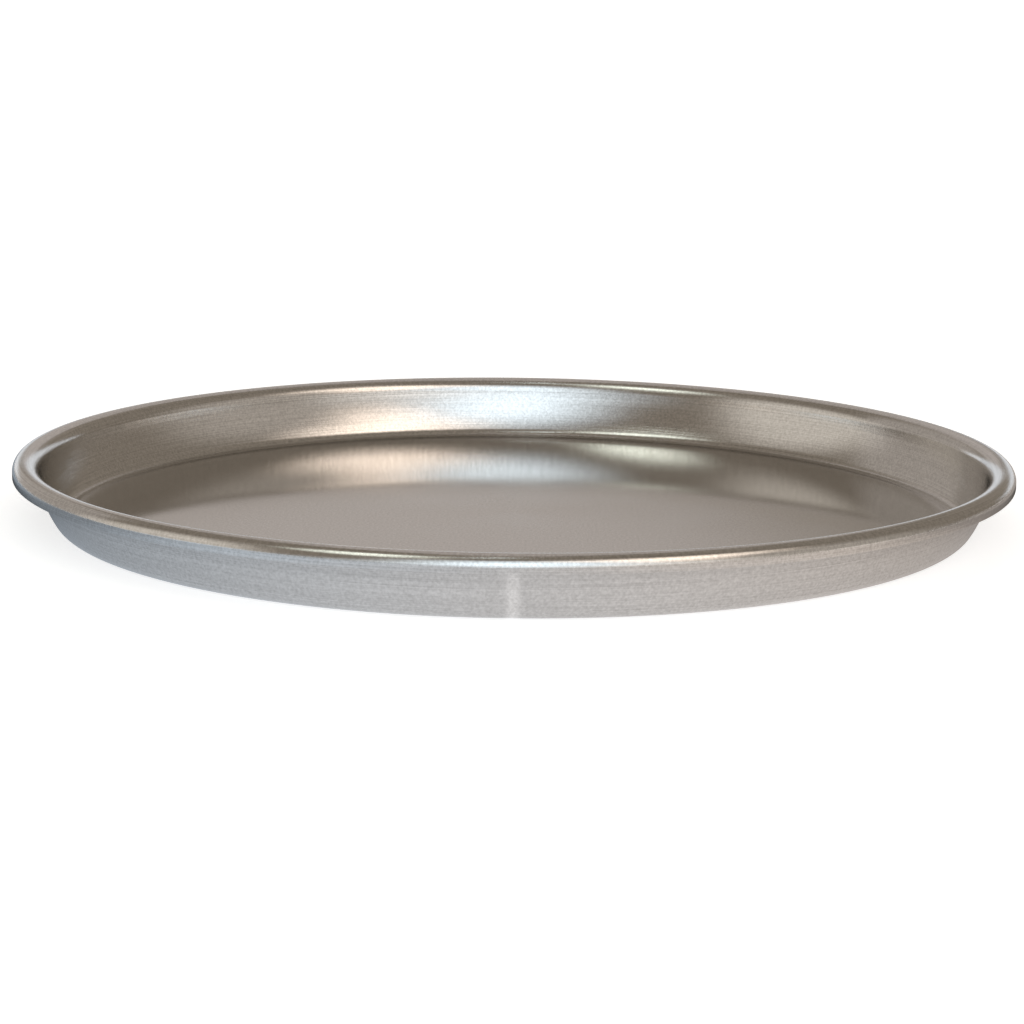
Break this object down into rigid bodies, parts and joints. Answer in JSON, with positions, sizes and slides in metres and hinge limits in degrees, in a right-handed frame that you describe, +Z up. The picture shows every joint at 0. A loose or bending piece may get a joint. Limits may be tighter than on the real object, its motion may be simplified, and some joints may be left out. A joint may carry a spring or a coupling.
{
  "type": "baking pan",
  "caption": "Shallow round aluminium baking pan with a flat floor, a slightly bowed and leaning wall and a flared rim that turns down into a short lip.",
  "frame": {"origin": "centre of the base's underside, on the table under the pan's centre", "axes": "+Z up along the pan's axis of revolution; X and Y lie in the table plane and are interchangeable"},
  "size_m": [0.3842, 0.3842, 0.0254],
  "materials": {
    "spun_aluminium": "satin, spun and uncoated"
  },
  "bodies": {
    "root": {"pan": "spun_aluminium"}
  },
  "joints": []
}
